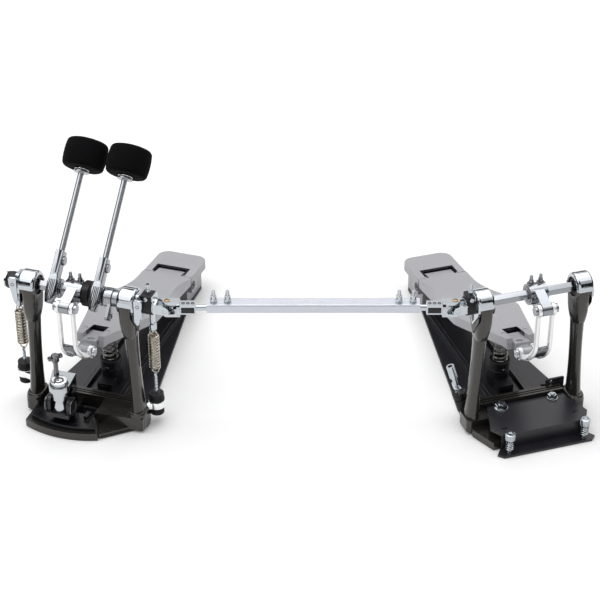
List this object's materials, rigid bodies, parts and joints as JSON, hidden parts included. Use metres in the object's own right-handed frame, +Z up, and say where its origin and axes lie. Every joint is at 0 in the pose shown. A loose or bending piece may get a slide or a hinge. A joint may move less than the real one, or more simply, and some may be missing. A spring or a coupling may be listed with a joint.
{
  "type": "double bass drum pedal",
  "caption": "Double bass drum pedal: a primary pedal with two felt beaters on its axle and a slave pedal that drives one of them through a jointed drive bar.",
  "frame": {"origin": "centre of the bounding box on the floor", "axes": "+X along the drive bar from the primary to the slave pedal, +Y from the drum towards the player, +Z up"},
  "size_m": [0.768, 0.4434, 0.3603],
  "materials": {
    "black_steel": "satin black paint",
    "gunmetal": "dark gunmetal coat",
    "board_alloy": "satin bead blasted",
    "chrome": "polished",
    "polished_alloy": "polished",
    "steel": "ground",
    "black_plastic": "moulded",
    "pad_rubber": "smooth",
    "felt": "dense felt"
  },
  "bodies": {
    "primary_base": {"primary_base_plate": "black_steel", "primary_front_casting": "gunmetal", "hoop_pad": "pad_rubber", "primary_posts": "gunmetal", "primary_bearing_caps": "chrome", "primary_bearings": "steel", "primary_heel_block": "board_alloy", "primary_hinge_pin": "steel", "left_spring": "steel", "right_spring": "steel", "tensioners": "black_plastic", "spring_clips": "chrome", "primary_coil": "steel", "primary_coil_holder": "black_plastic", "hoop_clamp_body": "chrome"},
    "hoop_clamp_jaw": {"hoop_clamp_jaw": "chrome"},
    "hoop_clamp_key": {"hoop_clamp_key": "steel"},
    "primary_axle": {"primary_axle": "steel", "left_beater_hub": "chrome", "primary_cam": "chrome", "left_rocker": "chrome"},
    "left_beater": {"left_beater_shaft": "chrome", "left_beater_head": "felt"},
    "primary_link": {"primary_link": "polished_alloy"},
    "primary_footboard": {"primary_footboard": "board_alloy", "primary_slide_adjuster": "board_alloy"},
    "left_swivel": {"left_swivel": "chrome"},
    "second_shaft": {"second_shaft": "steel", "right_beater_hub": "chrome", "hub_collar": "black_plastic", "right_rocker": "chrome", "primary_joint_yoke": "chrome"},
    "right_beater": {"right_beater_shaft": "chrome", "right_beater_head": "felt"},
    "right_swivel": {"right_swivel": "chrome"},
    "primary_joint_cross": {"primary_joint_cross": "steel"},
    "drive_tube": {"drive_tube": "polished_alloy", "tube_bolts": "chrome", "left_drive_rod": "polished_alloy"},
    "slave_base": {"slave_base_plate": "black_steel", "slave_front_casting": "gunmetal", "slave_front_plate": "black_steel", "slave_posts": "gunmetal", "slave_bearing_caps": "chrome", "slave_bearings": "steel", "slave_heel_block": "board_alloy", "slave_hinge_pin": "steel", "slave_coil": "steel", "slave_coil_holder": "black_plastic"},
    "drum_key": {"drum_key": "chrome"},
    "left_spur_bolt": {"left_spur_bolt": "chrome"},
    "right_spur_bolt": {"right_spur_bolt": "chrome"},
    "slave_axle": {"slave_axle": "steel", "slave_cam": "chrome", "slave_joint_yoke": "chrome"},
    "slave_link": {"slave_link": "polished_alloy"},
    "slave_footboard": {"slave_footboard": "board_alloy", "slave_slide_adjuster": "board_alloy"},
    "slave_rod": {"right_drive_rod": "polished_alloy"},
    "slave_joint_cross": {"slave_joint_cross": "steel"}
  },
  "joints": [
    {"name": "primary_axle_turn", "type": "hinge", "parent": "primary_base", "child": "primary_axle", "pos_m": [-0.28372, -0.12717, 0.195], "axis": [0.9511, -0.309, 0], "range_deg": [-3, 42], "stiffness_Nm_per_rad": 5},
    {"name": "primary_board_swing", "type": "hinge", "parent": "primary_base", "child": "primary_footboard", "pos_m": [-0.19227, 0.15429, 0.03603], "axis": [0.9511, -0.309, 0], "range_deg": [-0.64, 5.06], "deforming": ["primary_coil"]},
    {"name": "primary_link_swing", "type": "hinge", "parent": "primary_axle", "child": "primary_link", "pos_m": [-0.29916, -0.15528, 0.189], "axis": [0.9511, -0.309, 0], "range_deg": [-52.73, 4.04]},
    {"name": "left_swivel_rise", "type": "slide", "parent": "primary_base", "child": "left_swivel", "axis": [0, 0, 1], "range_m": [-0.00142, 0.01473], "deforming": ["left_spring"]},
    {"name": "left_beater_slide", "type": "slide", "parent": "primary_axle", "child": "left_beater", "axis": [0.2147, 0.6607, 0.7193], "range_m": [-0.01, 0.025]},
    {"name": "hoop_clamp_close", "type": "slide", "parent": "primary_base", "child": "hoop_clamp_jaw", "axis": [0, 0, 1], "range_m": [-0.0072, 0.006]},
    {"name": "hoop_clamp_key_turn", "type": "hinge", "parent": "primary_base", "child": "hoop_clamp_key", "pos_m": [-0.32162, -0.13379, 0.08], "axis": [0, 0, 1], "continuous": true},
    {"name": "slave_reach_slide", "type": "slide", "parent": "primary_base", "child": "slave_base", "axis": [1, 0, 0], "range_m": [-0.0075, 0.06]},
    {"name": "slave_axle_turn", "type": "hinge", "parent": "slave_base", "child": "slave_axle", "pos_m": [0.29228, -0.13181, 0.195], "axis": [0.9511, 0.309, 0], "range_deg": [-3, 42], "stiffness_Nm_per_rad": 5},
    {"name": "slave_board_swing", "type": "hinge", "parent": "slave_base", "child": "slave_footboard", "pos_m": [0.20083, 0.14966, 0.03603], "axis": [0.9511, 0.309, 0], "range_deg": [-0.64, 5.06], "deforming": ["slave_coil"]},
    {"name": "slave_link_swing", "type": "hinge", "parent": "slave_axle", "child": "slave_link", "pos_m": [0.30772, -0.15991, 0.189], "axis": [0.9511, 0.309, 0], "range_deg": [-52.73, 4.04]},
    {"name": "slave_cross_tilt", "type": "hinge", "parent": "slave_axle", "child": "slave_joint_cross", "pos_m": [0.19242, -0.16426, 0.195], "axis": [-0.309, 0.9511, 0], "range_deg": [-12.56, 1.18]},
    {"name": "slave_rod_turn", "type": "hinge", "parent": "slave_base", "child": "slave_rod", "pos_m": [0.19242, -0.16426, 0.195], "axis": [1, 0, 0], "range_deg": [-3.4, 43.73]},
    {"name": "drive_tube_turn", "type": "hinge", "parent": "primary_base", "child": "drive_tube", "pos_m": [-0.16959, -0.16426, 0.195], "axis": [1, 0, 0], "range_deg": [-3.4, 43.73]},
    {"name": "second_shaft_turn", "type": "hinge", "parent": "primary_base", "child": "second_shaft", "pos_m": [-0.28372, -0.12717, 0.195], "axis": [0.9511, -0.309, 0], "range_deg": [-3.3, 42.3]},
    {"name": "primary_cross_tilt", "type": "hinge", "parent": "second_shaft", "child": "primary_joint_cross", "pos_m": [-0.16959, -0.16426, 0.195], "axis": [0.309, 0.9511, 0], "range_deg": [-1.18, 12.56]},
    {"name": "right_swivel_rise", "type": "slide", "parent": "primary_base", "child": "right_swivel", "axis": [0, 0, 1], "range_m": [-0.00142, 0.01473], "deforming": ["right_spring"]},
    {"name": "right_beater_slide", "type": "slide", "parent": "second_shaft", "child": "right_beater", "axis": [0.2147, 0.6607, 0.7193], "range_m": [-0.01, 0.025]},
    {"name": "left_spur_screw", "type": "slide", "parent": "slave_base", "child": "left_spur_bolt", "axis": [0, 0, 1], "range_m": [0, 0.008]},
    {"name": "right_spur_screw", "type": "slide", "parent": "slave_base", "child": "right_spur_bolt", "axis": [0, 0, 1], "range_m": [0, 0.008]},
    {"name": "drum_key_pull", "type": "slide", "parent": "slave_base", "child": "drum_key", "axis": [-0.3056, 0.046, 0.9511], "range_m": [0, 0.08]}
  ],
  "couplings": [
    {"joint": "primary_board_swing", "follows": "primary_axle_turn", "ratio": 0.1134},
    {"joint": "primary_link_swing", "follows": "primary_axle_turn", "ratio": -1.2484},
    {"joint": "left_swivel_rise", "follows": "primary_axle_turn", "m_per_rad": 0.01955},
    {"joint": "slave_board_swing", "follows": "slave_axle_turn", "ratio": 0.1134},
    {"joint": "slave_link_swing", "follows": "slave_axle_turn", "ratio": -1.2484},
    {"joint": "slave_cross_tilt", "follows": "slave_axle_turn", "ratio": -0.292},
    {"joint": "slave_rod_turn", "follows": "slave_axle_turn", "ratio": 1.0341},
    {"joint": "drive_tube_turn", "follows": "slave_axle_turn", "ratio": 1.0341},
    {"joint": "second_shaft_turn", "follows": "slave_axle_turn", "ratio": 1},
    {"joint": "primary_cross_tilt", "follows": "slave_axle_turn", "ratio": 0.292},
    {"joint": "right_swivel_rise", "follows": "slave_axle_turn", "m_per_rad": 0.01955}
  ]
}
